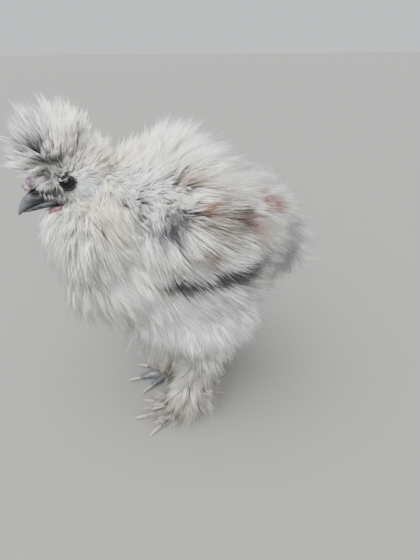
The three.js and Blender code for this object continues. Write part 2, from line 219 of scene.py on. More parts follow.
# Rings of the right side, fullness and inset
LIMBS = {
    "wing": (
        [[-58, 32, 175, 14, 9], [-36, 45, 172, 25, 10], [-8, 51, 167, 27, 11], [22, 46, 160, 16, 9]], 0.8, 4
    ),
    "thigh": ([[-10, 30, 142, 32, 22], [-12, 36, 108, 33, 25], [-14, 31, 74, 19, 16]], 0.8, 8),
    "shank": (
        [[-8, 29, 84, 11, 10], [-17, 27, 50, 8.5, 8], [-26, 25, 24, 8, 7.5], [-31, 24, 5, 9, 9]], 0.4, 2
    ),
}
ANKLE = np.array([-31.0, 24.0, 6.5])  # where the right foot's toes meet
TOE_RADIUS = 4.0
TOES = {  # the tip's x, how far out it is, its height, and the toe's thickness
    "middle": (-63, 0, 2.6, 1.0),
    "outer": (-54, 15, 2.4, 0.9),
    "inner": (-54, -14, 2.4, 0.9),
    "hind": (-10, -8, 2.3, 0.85),
    "extra": (-9, -2, 19, 0.75),
}


def toe(name, side):
    x, apart, z, thick = TOES[name]
    r = TOE_RADIUS * thick
    base = ANKLE * [1, side, 1]
    tip = np.array([x, side * (ANKLE[1] + apart), z + 0.9])
    middle = (base + tip) / 2 + [0, 0, -0.6]
    return Loft(
        [[*base, 1.2 * r, 1.2 * r], [*middle, r, r], [*tip, 0.75 * r, 0.8 * r]], fullness=0.35
    )


flesh = {"torso": torso, "neck": neck, "neck_nape": nape, "head": head, "tail": tail}
for name, side in SIDES:
    for part, (rings, fullness, inset) in LIMBS.items():
        flesh[f"{part}_{name}"] = Loft(np.array(rings) * [1, side, 1, 1, 1], fullness, inset)
    for key in TOES:
        flesh[f"toe_{key}_{name}"] = toe(key, side)
shells = {name: loft.grid(48, 32) for name, loft in flesh.items()}
shells["crest"] = ball(SKULL, [16, 12.5, 10], pitch=-0.2)
print("fleshy parts:", len(shells))

# %% [markdown]
# ## One skin
#
# A bird's skin has no seams, so the closed shells are joined, remeshed into one surface and smoothed a
# little. A coarse copy of it is the guide on which the tufts are rooted.


# %% Remesh the shells into a skin and a guide
def mesh_of(name, points, faces):
    mesh = bpy.data.meshes.new(name)
    mesh.from_pydata([tuple(p) for p in place(points)], [], faces)
    mesh.validate()
    mesh.update()
    return mesh


def object_of(name, data):
    obj = bpy.data.objects.new(name, data)
    bpy.context.scene.collection.objects.link(obj)
    return obj


def joined(parts):
    """Several (points, faces) pairs as one."""
    points, faces, count = [], [], 0
    for p, f in parts:
        points.append(p)
        faces += [tuple(i + count for i in face) for face in f]
        count += len(p)
    return np.vstack(points), faces


def remeshed(name, parts, voxel, rounds):
    """The union of closed shells as one even, smoothed mesh. `voxel` is in millimetres."""
    obj = object_of(name, mesh_of(name, *joined(parts)))
    remesh = obj.modifiers.new("voxels", "REMESH")
    remesh.mode, remesh.voxel_size, remesh.use_smooth_shade = "VOXEL", voxel / 1000, True
    soften = obj.modifiers.new("soften", "SMOOTH")
    soften.factor, soften.iterations = 0.5, rounds
    ready = bpy.data.meshes.new_from_object(obj.evaluated_get(bpy.context.evaluated_depsgraph_get()))
    ready.name = name
    obj.modifiers.clear()
    obj.data = ready
    return obj


skin = remeshed("skin", shells.values(), 1.1, rounds=4)
guide = remeshed("guide", shells.values(), 2.2, rounds=3)
print("skin faces", len(skin.data.polygons), "guide faces", len(guide.data.polygons))

# %% [markdown]
# ## Where the coat changes
#
# Each point of the guide blends what the fleshy parts near it say about its feathers, so that the lie
# turns smoothly from one part into the next. Over the trunk the feathers stand on a smoother surface than
# the skin, so that no edge of the wing shows.


# %% Regions and their share at each guide point
def arrays(obj):
    """Vertices, normals and triangles of an object, in bird millimetres."""
    mesh = obj.data
    mesh.calc_loop_triangles()
    points = np.empty(3 * len(mesh.vertices))
    mesh.vertices.foreach_get("co", points)
    normals = np.empty_like(points)
    mesh.vertices.foreach_get("normal", normals)
    corners = np.empty(3 * len(mesh.loop_triangles), int)
    mesh.loop_triangles.foreach_get("vertices", corners)
    points = points.reshape(-1, 3) * 1000
    points[:, 0] -= SHIFT
    return points, normals.reshape(-1, 3), corners.reshape(-1, 3)


REGIONS = ["torso", "neck", "head", "crest", "tail", "wing", "thigh", "shank", "toe"]
TORSO, NECK, HEAD, CREST, TAIL, WING, THIGH, SHANK, TOE = range(len(REGIONS))
BLEND_OVER = 6.0  # mm over which one part's coat passes into the next

guide_at, guide_out, guide_tris = arrays(guide)
reach = np.full((len(REGIONS), len(guide_at)), 1e3)
for name, (points, faces) in shells.items():
    tree = BVHTree.FromPolygons([tuple(p) for p in points], faces)
    far = np.array([tree.find_nearest(Vector(p), 60.0)[3] or 60.0 for p in guide_at])
    i = REGIONS.index(name.split("_")[0])
    reach[i] = np.minimum(reach[i], far)
reach[WING] += 14 * ramp(-guide_at[:, 0], 20, 52)  # the neck's feathers hide the front of the wing
share = np.exp(-((reach - reach.min(0)) / BLEND_OVER))
share /= share.sum(0)
print({name: int((share.argmax(0) == i).sum()) for i, name in enumerate(REGIONS)})


def softened(field, rounds):
    """The field, with each point averaged with its neighbours on the guide, `rounds` times."""
    pairs = np.vstack([guide_tris[:, [0, 1]], guide_tris[:, [1, 2]], guide_tris[:, [2, 0]]])
    count = np.bincount(pairs.ravel(), minlength=len(guide_at))[:, None]
    for _ in range(rounds):
        total = np.zeros_like(field)
        np.add.at(total, pairs[:, 0], field[pairs[:, 1]])
        np.add.at(total, pairs[:, 1], field[pairs[:, 0]])
        field = 0.5 * (field + total / count)
    return field


trunk = sum(share[i] for i in (TORSO, NECK, TAIL, WING, THIGH))[:, None]
guide_out = unit(guide_out + trunk * (softened(guide_out, 24) - guide_out))

# %% [markdown]
# ## The lie of the coat
#
# For each part: the way its feathers lie, their length, the height of the tips above the skin, the
# spacing of the tufts and the width of one barb, all in millimetres, and how stiff they are, from 0 for
# drooping to 1 for straight.


# %% Coat settings of every region
def coat_settings(points, normals):
    """For every region: lie, length, height of the tips, spacing, width and stiffness."""
    x, y, z = points.T
    nx, ny, nz = normals.T
    side = np.sign(y)
    settings = {}
    # Back and down, and more steeply underneath. The back is full, and the low breast hangs free.
    under = ramp(-nz, 0.1, 0.9)
    front_low = ramp(-x, -10, 50) * ramp(-z, -130, -100) * (0.25 + 0.75 * ramp(-nz, 0, 0.7))
    back = ramp(nz, 0.15, 0.8)
    chest = ramp(-nx, 0.1, 0.7) * ramp(-z, -145, -125)
    lie = stack(0.80 - 0.35 * under, 0.05 * side, -0.60 - 0.3 * under)
    length = 44 + 12 * front_low - 8 * ramp(x, 10, 50)
    height = 13 + 5 * under + 24 * front_low + 7 * chest * (1 - under)
    height = height + back * (12 - 5 * ramp(x, -40, 10)) - 3 * ramp(nx, 0.3, 0.9)
    stiff = 0.45 * under + 0.3 * front_low + 0.45 * back
    settings["torso"] = (lie, length, height, 2.6 - 0.7 * back, 0.37, stiff)
    # Down over the breast, and back over the nape, where they rise into the hump
    over_nape = ramp(x, -85, -65) * ramp(z, 180, 205)
    lie = stack(0.12 + 0.30 * nx + 0.9 * ramp(x, -95, -55), 0.22 * ny, -1.0 + 0.3 * over_nape)
    length = 32 + 16 * ramp(-z, -175, -135) + 4 * ramp(-x, 40, 100) - 8 * ramp(z, 190, 215) * (1 - over_nape)
    height = 13 - 5 * ramp(z, 190, 210) + 12 * over_nape * ramp(x, -72, -56) + 4 * over_nape
    high = ramp(z, 190, 212)
    settings["neck"] = (
        lie, length, height, 2.3 - 0.7 * high - 0.3 * over_nape, 0.37 - 0.08 * high, 0.5 * over_nape
    )
    # Away from the eye, shortest round it and before it, and longer on the cheek and the bill's base
    eye_gap = np.linalg.norm(np.stack([x, np.abs(y) * 0.7, z], -1) - EYE * [1, 0.7, 1], axis=-1)
    from_eye = np.stack([x - EYE[0], 0.4 * y, z - EYE[2]], -1)
    front = ramp(-x, 95, 108)
    brow = ramp(z, 207, 215) * (1 - ramp(-x, 100, 106))
    bridge = ramp(-x, 102, 108) * ramp(z, 204, 208)
    close = 1 - ramp(eye_gap, 6, 12)
    face = 2.6 + 8 * ramp(eye_gap, 6.5, 20) * (1 - front) + 6 * ramp(x, -92, -74) + 8 * bridge
    down = -0.45 - 0.3 * ramp(-z, -205, -190) - 0.9 * bridge + 1.7 * brow
    lie = stack(0.75 - 1.5 * bridge - 0.4 * brow, 0.25 * ny + 0.3 * side * bridge, down)
    lie = unit(from_eye) * (0.5 + 1.5 * close)[:, None] + lie
    spacing = 0.9 + 0.05 * face - 0.45 * bridge - 0.2 * brow
    settings["head"] = (lie, face, 0.7 + 0.36 * face + 3 * bridge, spacing, 0.2 + 0.012 * face, 0.1)
    # The crest fans out from a point inside the skull, and passes into the smooth nape behind
    fan = unit(points - (SKULL - [0, 0, 14]))
    behind = ramp(fan[:, 0], 0.3, 0.9)
    top = ramp(nz, 0.1, 0.8)
    ahead = ramp(-nx, 0.3, 1) * (1 - top)
    tall = 40 - 8 * top - 22 * ramp(-nx, 0.25, 0.95) - behind
    lie = fan + stack(0.15 + 0.5 * behind, 0.0, 0.75 - 0.9 * behind + 0.8 * ahead)
    height = tall * (0.46 + 0.42 * top - 0.12 * behind - 0.04 * ahead)
    settings["crest"] = (lie, tall, height, 1.7 - 0.5 * (1 - top), 0.35, 0.7 - 0.4 * behind)
    # The tail has no stiff feathers: it is a soft tuft that hangs
    low_tail = ramp(-z, -150, -110)
    lie = stack(0.40 + 0.1 * low_tail, 0.40 * ny, -0.95)
    settings["tail"] = (lie, 38 + 16 * low_tail, 12 + 12 * low_tail, 2.5, 0.37, 0.2 * low_tail)
    lie = stack(0.85, 0.02 * side, -0.75 + 0.35 * ramp(x, -60, 10))
    settings["wing"] = (lie, 38, 13 - 4 * ramp(-x, 30, 50), 2.8, 0.38, 0)
    rear = ramp(nx, 0, 1)
    lie = stack(0.25 + 0.2 * nx, 0.12 * side, -1.0)
    settings["thigh"] = (lie, 27 + 8 * rear, 11 + 7 * rear, 2.4, 0.32, 0.1)
    # The shank's feathers fan out to the side and the rear, over the foot
    rear = ramp(0.8 * nx + 0.6 * side * ny, 0.1, 0.9) * ramp(-z, -60, -30)
    lie = stack(0.45 + 0.9 * nx, 0.6 * ny + 0.3 * side, -0.1 - z / 60)
    length = 26 + 4 * ramp(-z, -45, -20) + 14 * rear
    settings["shank"] = (lie, length, 13 + 2 * ramp(-z, -45, -15) + 6 * rear, 2.1, 0.36, 0.35)
    outer = ramp(side * y, 27, 34)
    length = 19 - 5 * ramp(-x, 40, 60) - 8 * outer
    settings["toe"] = (stack(-0.85, 0.22 * side, 0.05), length, 6.5 - 2.5 * outer, 1.6, 0.32, 0.2)
    return settings


settings = coat_settings(guide_at, guide_out)
guide_lie = sum(share[i][:, None] * unit(settings[name][0]) for i, name in enumerate(REGIONS))
guide_sizes = np.stack(
    [sum(share[i] * settings[name][k] for i, name in enumerate(REGIONS)) for k in range(1, 6)], -1
)
print("lengths", guide_sizes[:, 0].min().round(1), "to", guide_sizes[:, 0].max().round(1), "mm")

# %% [markdown]
# ## Tuft roots
#
# Feathers grow at an even spacing that differs from part to part. Random points on the guide give the
# natural look, and they are thinned so that neighbours keep the spacing of their region. The eyes, the
# bill, the soles and the tips of the toes stay bare.

# %% Scatter the roots
CANDIDATES = 120000
EYE_OPENING = 4.8  # mm round the eye's centre without feathers

rng = np.random.default_rng(7)


def on_guide(field, triangles, weights):
    return (field[guide_tris[triangles]] * weights[..., None]).sum(1)


a, b, c = (guide_at[guide_tris[:, k]] for k in range(3))
area = np.linalg.norm(np.cross(b - a, c - a), axis=1) / 2
spacing = guide_sizes[guide_tris, 2].mean(1)
chance = area / spacing**2
pick = rng.choice(len(guide_tris), CANDIDATES, p=chance / chance.sum())
bary = rng.dirichlet((1, 1, 1), len(pick))
roots = on_guide(guide_at, pick, bary)
out = unit(on_guide(guide_out, pick, bary))
sizes = on_guide(guide_sizes, pick, bary)
shares = on_guide(share.T, pick, bary)
lie = on_guide(guide_lie, pick, bary)

x, y, z = roots.T
to_eye = roots - EYE * stack(1.0, np.sign(y), 1.0)
bare = np.linalg.norm(to_eye * [1, 0.5, 1], axis=1) < EYE_OPENING
bare |= (z < 4.5) | ((z < 16) & (out[:, 2] < -0.1))  # soles
bare |= (z < 16) & (x < np.where(y > 0, -42, -59))  # toe tips, more of them on the far foot
bare |= (z < 22) & (x > -18)  # hind toes

tree = KDTree(len(roots))
for i, p in enumerate(roots):
    tree.insert(p, i)
tree.balance()
free = ~bare
kept = []
for i in range(len(roots)):
    if free[i]:
        kept.append(i)
        for _, j, _ in tree.find_range(roots[i], sizes[i, 2]):
            free[j] = False
kept = np.array(kept)
roots, out, sizes, shares, lie = (a[kept] for a in (roots, out, sizes, shares, lie))
region = shares.argmax(1)
print("tufts", len(kept), {n: int((region == i).sum()) for i, n in enumerate(REGIONS)})

# %% [markdown]
# ## Barbs
#
# This breed's feathers don't hook together, so each one is a tuft of fine soft barbs. A barb is a closed
# three-sided blade that leaves the skin at its tuft's angle, bends along the body and sags to its tip.
# The barbs of a tuft start together, spread, and gather again a little at the tip. They are worked out
# together in arrays, because an operator for each of some 150,000 barbs would be far too slow.

# %% Make the barbs of all tufts
BARBS = {"head": 10, "crest": 18, "toe": 8, "shank": 14}  # 19 elsewhere
TAPER = {2: [0.8, 0.9], 3: [0.75, 1.0, 0.8]}  # a barb's width at its rings, before its pointed tip
ROOT_DEPTH = 0.6
FLOOR_GAP, EASE_BELOW = 0.4, 6.0


def barbs_of(chosen, barbs, rings, seed):
    """Points (tufts, barbs, vertices, 3) of the chosen tufts, each vertex's place along its barb, and
    the tufts' middle paths."""
    draw = np.random.default_rng(seed)
    count = len(chosen)
    p, n = roots[chosen], out[chosen]
    length, rise, space, width, stiff = sizes[chosen].T
    # The tuft: its lie wanders, stiff tufts are ragged, and its angle brings the tips to their height
    ragged = 1 + 1.8 * ramp(stiff, 0.45, 0.7)
    level = lie[chosen] + 0.10 * ragged[:, None] * draw.normal(size=(count, 3))
    level = level + 0.16 * stack(*(wobble(p, 38, k) for k in (1, 2, 3)))
    level = level + 0.10 * stack(*(wobble(p, 14, k) for k in (4, 5, 6)))
    level = unit(level - n * (level * n).sum(-1, keepdims=True))
    length = length * (0.98 + 0.2 * ragged**0.5 * draw.uniform(-1, 0.5, count))
    lift = 2 * (rise / length - 0.03 * (1 - stiff)) / (1 + stiff)
    lift = np.clip(lift + 0.05 * ragged * draw.normal(size=count), 0.12, 0.97)
    start = level * np.sqrt(1 - lift**2)[:, None] + n * lift[:, None]
    across = np.cross(level, n)
    sag = -n * ((1 - stiff) * (lift - 0.06) / 2)[:, None] + [0, 0, -0.035]
    sag = sag + 0.05 * draw.normal(size=(count, 3))
    # The barbs: where each starts in the tuft, how long it is and how it waves
    turn = draw.uniform(0, 2 * np.pi, (count, barbs))
    apart = np.sqrt(draw.uniform(0, 1, (count, barbs)))
    fan = (apart * np.cos(turn))[..., None] * across[:, None]
    fan = fan + (0.6 * apart * np.sin(turn))[..., None] * n[:, None]
    shortest = 0.7 - 0.28 * shares[chosen, NECK]
    size = length[:, None] * draw.uniform(shortest[:, None], 1.08, (count, barbs))
    wave = draw.normal(size=(count, barbs, 3)) * 0.022
    loose = draw.uniform(0.4, 1.4, count)[:, None, None, None]
    root_spread = (0.42 * space)[:, None, None, None]
    s = np.append(np.arange(rings) / rings, 1.0)[None, None, :, None]
    far = size[..., None, None]
    spine = (
        p[:, None, None]
        - n[:, None, None] * ROOT_DEPTH
        + fan[:, :, None] * (root_spread + far * loose * (0.22 * s - 0.15 * s**2))
        + far * (s * start[:, None, None] + s**2 * sag[:, None, None])
        + far * wave[:, :, None] * np.sin(np.pi * s)
    )
    # The blade: three edges round the spine, flattened along the skin
    tangent = unit(np.gradient(spine, axis=2))
    flat = unit(np.cross(tangent, n[:, None, None] + 0.5 * draw.normal(size=(count, barbs, 1, 3))))
    upright = np.cross(flat, tangent)
    thick = width[:, None] * draw.uniform(0.75, 1.2, (count, barbs))
    half = (thick[..., None] * np.array(TAPER[rings]) / 2)[..., None]
    edges = []
    for angle in (0.5, 0.5 + 2 / 3, 0.5 + 4 / 3):
        cosine, sine = math.cos(angle * math.pi), math.sin(angle * math.pi)
        offset = flat * cosine + upright * (0.55 * sine)
        edges.append(spine[:, :, :rings] + offset[:, :, :rings] * half)
    ringed = np.stack(edges, 3).reshape(count, barbs, 3 * rings, 3)
    verts = np.concatenate([ringed, spine[:, :, -1:]], 2)
    # Near the ground the tips are eased to lie just above it
    height, ease = verts[..., 2], EASE_BELOW - FLOOR_GAP
    eased = FLOOR_GAP + ease * np.exp((np.minimum(height, EASE_BELOW) - EASE_BELOW) / ease)
    verts[..., 2] = np.where(height < EASE_BELOW, eased, height)
    along = np.append(np.repeat(np.arange(rings) / rings, 3), 1.0)
    s = along[None, :, None]
    path = p[:, None] + length[:, None, None] * (s * start[:, None] + s**2 * sag[:, None])
    return verts, along, path


def barb_faces(rings):
    """Triangles of one barb: its root, its sides and its pointed tip, all facing outwards."""
    faces = [(0, 1, 2)]
    for k in range(rings - 1):
        for i in range(3):
            j = (i + 1) % 3
            a, b, c, d = 3 * k + i, 3 * k + j, 3 * k + 3 + j, 3 * k + 3 + i
            faces += [(a, c, b), (a, d, c)]
    last = 3 * (rings - 1)
    faces += [(last + i, 3 * rings, last + (i + 1) % 3) for i in range(3)]
    return np.array(faces)

print("triangles of a barb:", len(barb_faces(2)), "or", len(barb_faces(3)))

# %% [markdown]
# ## Pieces of the coat
#
# The tufts of a part go into one mesh, or into more where it would be too large. On the unwrap the barbs
# of a tuft share a small patch. Each vertex also carries what the markings need.

# %% Put the barbs together in pieces
PIECE_LIMIT = 190000  # triangles
PATCH = 0.003  # a tuft's size on the unwrap
REGION_MIDDLES = np.array([guide_at[share.argmax(0) == i].mean(0) for i in range(len(REGIONS))])


def tuft_map(chosen):
    """The place of each tuft's root on the unwrap: a strip for each region, round it and along it."""
    p, home = roots[chosen], region[chosen]
    middle = REGION_MIDDLES[home]
    middle[:, 1] = np.where(home >= WING, np.sign(p[:, 1]) * np.abs(middle[:, 1]), 0)
    rel = p - middle
    turn = np.arctan2(rel[:, 1], rel[:, 2]) / (2 * np.pi) + 0.5
    u = 0.5 + np.arctan2(rel[:, 0], np.hypot(rel[:, 1], rel[:, 2])) / np.pi
    column, row = home % 3, home // 3
    return stack((column + 0.04 + 0.92 * turn) / 3, (row + 0.04 + 0.92 * u) / 3)


def coat_piece(name, chosen, barbs, rings, seed):
    """One mesh object with the barbs of the chosen tufts."""
    verts, along, path = barbs_of(chosen, barbs, rings, seed)
    draw = np.random.default_rng(seed + 1)
    tufts, _, each = verts.shape[:3]
    faces = barb_faces(rings)
    index = (np.arange(tufts * barbs)[:, None, None] * each + faces).reshape(-1, 3)
    mesh = bpy.data.meshes.new(name)
    mesh.vertices.add(tufts * barbs * each)
    mesh.vertices.foreach_set("co", place(verts).ravel())
    mesh.loops.add(index.size)
    mesh.loops.foreach_set("vertex_index", index.ravel())
    mesh.polygons.add(len(index))
    mesh.polygons.foreach_set("loop_start", np.arange(0, index.size, 3))
    mesh.polygons.foreach_set("use_smooth", np.ones(len(index), bool))
    mesh.update(calc_edges=True)

    def per_vertex(label, values):
        layer = mesh.attributes.new(label, "FLOAT_VECTOR", "POINT")
        values = np.broadcast_to(values, (tufts, barbs, each, 3))
        layer.data.foreach_set("vector", np.ascontiguousarray(values).ravel())

    # Each vertex keeps its place on the tuft's path, and its barb's place, shade and streak.
    # Barbs differ most in shade on the wing and the breast.
    per_vertex("spot", place(path)[:, None])
    shade = draw.uniform(0, 1, tufts)[:, None, None]
    contrast = shares[chosen, WING] + 0.5 * shares[chosen, NECK]
    streak = draw.uniform(0, 1, (tufts, barbs))[..., None] ** (1 + 0.5 * contrast)[:, None, None]
    per_vertex("hair", stack(along[None, None], shade, streak))
    place_in_tuft = stack(np.arange(barbs)[None, :, None] / barbs - 0.5, along[None, None] - 0.5)
    uv = tuft_map(chosen)[:, None, None] + PATCH * place_in_tuft
    uv = np.broadcast_to(uv, (tufts, barbs, each, 2)).reshape(-1, 2)
    mesh.uv_layers.new(name="OFBake").data.foreach_set("uv", uv[index.ravel()].ravel())
    return object_of(name, mesh)


coat = []
for i, name in enumerate(REGIONS):
    chosen = np.flatnonzero(region == i)
    barbs, rings = BARBS.get(name, 19), 3 if name == "crest" else 2
    pieces = math.ceil(len(chosen) * len(barb_faces(rings)) * barbs / PIECE_LIMIT)
    order = chosen[np.argsort(roots[chosen, 0])]
    for k, some in enumerate(np.array_split(order, pieces)):
        coat.append((coat_piece(f"coat_{name}_{k + 1}", some, barbs, rings, 100 * i + k), name))
print("coat pieces", len(coat), "triangles", sum(len(o.data.polygons) for o, _ in coat))

# %% [markdown]
# ## The bill
#
# The bill is horn over bone: a short, stout upper half that hooks over a flat lower one. Each is a loft
# along its own curve. Its ridge is narrower than its cutting edge, and the nostrils are dents with a rim.


# %% Bill with its ridge, hook and nostrils
def closed(name, work, mesh):
    """An object of the bmesh `work`, smooth and with its faces turned outwards."""
    bmesh.ops.recalc_face_normals(work, faces=work.faces)
    for face in work.faces:
        face.smooth = True
    work.to_mesh(mesh)
    work.free()
    return object_of(name, mesh)


def shaped(name, points, faces):
    mesh, work = mesh_of(name, points, faces), bmesh.new()
    work.from_mesh(mesh)
    return closed(name, work, mesh)


def dent(points, centre, radii, depth, way):
    """Pushes the points near `centre` by `depth` along `way`."""
    near = np.exp(-(((points - centre) / radii) ** 2).sum(-1, keepdims=True))
    return points + near * depth * np.asarray(way, float)


upper_bill = Loft(
    [
        [-101, 0, 198.5, 6.6, 7.6],
        [-108, 0, 197.8, 6.6, 6.9],
        [-114, 0, 196.3, 5.9, 5.8],
        [-120, 0, 193.8, 4.9, 4.6],
        [-126, 0, 189.6, 3.5, 3.1],
        [-130.6, 0, 183.6, 1.5, 1.2],
    ],
    fullness=0.55,
)
points, faces = upper_bill.grid(72, 64)
lean = np.clip((points[:, 2] - (points[:, 0] + 131) * 0.35 - 186) / 12, 0, 1)
points[:, 1] *= 1 - 0.28 * lean  # the ridge is narrower than the cutting edge
for _, s in SIDES:
    points = dent(points, [-117.2, s * 5.2, 197.2], [2.6, 2.4, 1.15], 1.9, [0.1, -s, -0.1])  # nostril
    points = dent(points, [-116.8, s * 5.4, 199.6], [3.4, 2.2, 1.1], 0.7, [0, s, 0.4])  # its rim
    points = dent(points, [-110, s * 7.5, 193.4], [9, 3, 1.1], 0.6, [0, s, -0.2])  # cutting edge
beak_upper = shaped("beak_upper_horn", points, faces)

lower_bill = Loft(
    [
        [-100, 0, 191.9, 4.2, 7.0],
        [-106, 0, 191.3, 3.7, 6.2],
        [-112, 0, 190.2, 3.0, 4.9],
        [-120, 0, 187.8, 2.1, 3.0],
        [-127, 0, 185.2, 0.9, 1.3],
    ],
    fullness=0.55,
)
beak_lower = shaped("beak_lower_horn", *lower_bill.grid(56, 40))
print("bill faces", len(beak_upper.data.polygons) + len(beak_lower.data.polygons))

# %% [markdown]
# ## Comb, wattles and ear lobes
#
# This breed's comb is a cushion of rounded bumps. Balls of different sizes are joined and remeshed, and a
# random field makes the surface pebbly. The wattles and lobes are flattened balls with the same finish.

# %% Comb, wattles and ear lobes
COMB = [  # x, y, z and radius of each bump, on both sides where y isn't 0
    (-115.5, 0, 208.5, 4.0),
    (-118.6, 2.6, 205.4, 3.2),
    (-122.0, 0, 202.2, 2.8),
    (-113.0, 3.6, 208.6, 2.8),
    (-115.4, 4.2, 205.0, 2.2),
    (-120.6, 2.4, 201.8, 2.0),
    (-118.0, 0, 209.0, 2.4),
]


def pebbled(name, parts, voxel, size, height, seed):
    """Remeshed shells with an uneven, pebbly surface. Its bumps are `size` wide and `height` high."""
    obj = remeshed(name, parts, voxel, rounds=2)
    p, n, _ = arrays(obj)
    rough = 0.6 * wobble(p, size, seed) + 0.4 * wobble(p, 0.5 * size, seed + 1)
    obj.data.vertices.foreach_set("co", place(p + n * (height * rough)[:, None]).ravel())
    obj.data.polygons.foreach_set("use_smooth", [True] * len(obj.data.polygons))
    obj.data.update()
    return obj


bumps = [ball([x, s * y, z], [r] * 3) for x, y, z, r in COMB for s in ((-1, 1) if y else (1,))]
comb = pebbled("comb_flesh", bumps, 0.3, 2.2, 0.32, 31)
wattles, lobes = [], []
for name, s in SIDES:
    wattle = ball([-104.0, s * 7.6, 187.2], [7.8, 1.9, 2.7], pitch=-0.3, yaw=0.2 * s)
    wattles.append(pebbled(f"wattle_{name}_flesh", [wattle], 0.25, 2.6, 0.25, 41))
    lobe = ball([-80.5, s * 12.4, 200.2], [3.9, 2.2, 5.0], pitch=0.2, yaw=-0.2 * s)
    lobes.append(pebbled(f"earlobe_{name}_flesh", [lobe], 0.3, 3.2, 0.28, 51))
print("comb faces", len(comb.data.polygons))

# %% [markdown]
# ## Eyes
#
# The ball is seated where the solid's is, with a slight bulge for the cornea. The lids are one ring round
# the opening, thick at the rim and drawn out to a corner in front and behind, and their inner edge
# touches the ball.


# %% Eyeballs and lids
def eye_frame(s):
    """The eye's centre, and its axes: forwards, up and out."""
    centre = EYE * [1, s, 1]
    outward = unit(np.array([-0.14, s * 1.0, 0.06]))
    forward = unit(np.array([-1.0, 0, 0.05]) - outward * (outward[0] * -1.0 + outward[2] * 0.05))
    up = np.cross(outward, forward)
    return centre, forward, up * np.sign(up[2]), outward


def eyeball(name, s):
    """A ball with its poles on the eye's axis, raised a little over the pupil."""
    centre, forward, up, outward = eye_frame(s)
    work = bmesh.new()
    bmesh.ops.create_uvsphere(work, u_segments=64, v_segments=48, radius=1.0)
    for vert in work.verts:
        x, y, z = vert.co
        angle = math.acos(max(-1.0, min(1.0, z)))
        radius = EYE_RADIUS * (1 + 0.035 * math.exp(-((angle / 0.55) ** 2)))
        vert.co = place(centre + radius * (x * forward + y * up + z * outward))
    return closed(name, work, bpy.data.meshes.new(name))


# The lid's section: its distance from the eye's axis and its height along it, at the rim and below it
LID_RIM = [(4.9, 2.2), (4.0, 4.2), (4.1, 4.8), (4.3, 5.0), (4.6, 4.85)]
LID_BASE = [(4.9, 4.2), (5.4, 3.2), (6.2, 1.8), (6.2, 0.2), (5.6, 0.4)]


def eyelids(name, s):
    centre, forward, up, outward = eye_frame(s)
    phi = 2 * np.pi * np.arange(72) / 72
    corner = np.exp(-((np.abs(np.cos(phi)) - 1) / 0.07) ** 2)
    upper = np.clip(np.sin(phi), 0, 1)
    flat = np.cos(phi)[:, None] * forward + np.sin(phi)[:, None] * up
    rows = []
    for k, (r, h) in enumerate(LID_RIM + LID_BASE):
        pull = 1.0 if k < len(LID_RIM) else 0.3
        r_phi = r + pull * (0.8 * corner - 0.15 * np.sin(phi) ** 2 - 0.5 * upper**2)
        h_phi = h - pull * 0.35 * corner
        if k in (3, 4):  # folds along the top of the rim
            h_phi = h_phi + 0.12 * np.sin(5 * phi + 1)
        rows.append(centre + r_phi[:, None] * flat + h_phi[:, None] * outward)
    m, n = len(rows), len(phi)
    faces = [
        (i * n + j, i * n + (j + 1) % n, (i + 1) % m * n + (j + 1) % n, (i + 1) % m * n + j)
        for i in range(m)
        for j in range(n)
    ]
    lid = shaped(name, np.vstack(rows), faces)
    smooth = lid.modifiers.new("round", "SUBSURF")
    smooth.levels = smooth.render_levels = 1
    return lid


eyes, eye_lids = [], []
for name, s in SIDES:
    eyes.append(eyeball(f"eye_{name}_ball", s))
    eye_lids.append(eyelids(f"lids_{name}", s))

# The skin is drawn back round the eyes, to make room for the balls and their lids
skin_at, _, _ = arrays(skin)
for _, s in SIDES:
    centre, _, _, outward = eye_frame(s)
    rel = skin_at - centre
    high = rel @ outward
    off = np.linalg.norm(rel - high[:, None] * outward, axis=1)
    sunk = np.where(high > 0, 1.0, 0.0) * (1 - ramp(off, 5.5, 9.5)) * np.maximum(high - 1.5, 0)
    skin_at = skin_at - outward * sunk[:, None]
skin.data.vertices.foreach_set("co", place(skin_at).ravel())
skin.data.update()
print("eye faces", len(eyes[0].data.polygons), "lid faces", len(eye_lids[0].data.polygons))

# %% [markdown]
# ## Claws
#
# A claw is a blunt curved cone of horn that grows out of the toe's end and bends down to the ground. It
# is a short loft along the toe's own direction.

# %% Claws
CLAW = [(-2, 0.0, 2.0, 1.7), (4, 0.05, 1.8, 1.4), (8, 0.25, 1.3, 1.0), (11.2, 0.6, 0.5, 0.4)]
claws = []
for name, s in SIDES:
    for key, (x, apart, z, _) in TOES.items():
        way = unit(np.array([x - ANKLE[0], s * apart, 0.0]))
        tip = np.array([x, s * (ANKLE[1] + apart), z])
        drop = min(z, 4)
        rings = [[*(tip + way * far - [0, 0, bend * drop]), deep, wide] for far, bend, deep, wide in CLAW]
        points, faces = Loft(rings, fullness=0.5).grid(24, 20)
        points[:, 2] = np.maximum(points[:, 2], FLOOR_GAP)
        claws.append((shaped(f"claw_{key}_{name}_horn", points, faces), f"claw_{key}_{name}"))
print("claws", len(claws))

# %% [markdown]
# ## Nodes
#
# One function adds any node: it takes the node's inputs, as numbers, hex colours or other nodes' outputs,
# and gives back one output. Hex colours are sRGB, and are turned to linear.


# %% Helpers for materials
def linear(code):
    """A hex sRGB colour as linear RGBA."""
    parts = [int(code[i : i + 2], 16) / 255 for i in (1, 3, 5)]
    return [c / 12.92 if c <= 0.04045 else ((c + 0.055) / 1.055) ** 2.4 for c in parts] + [1.0]


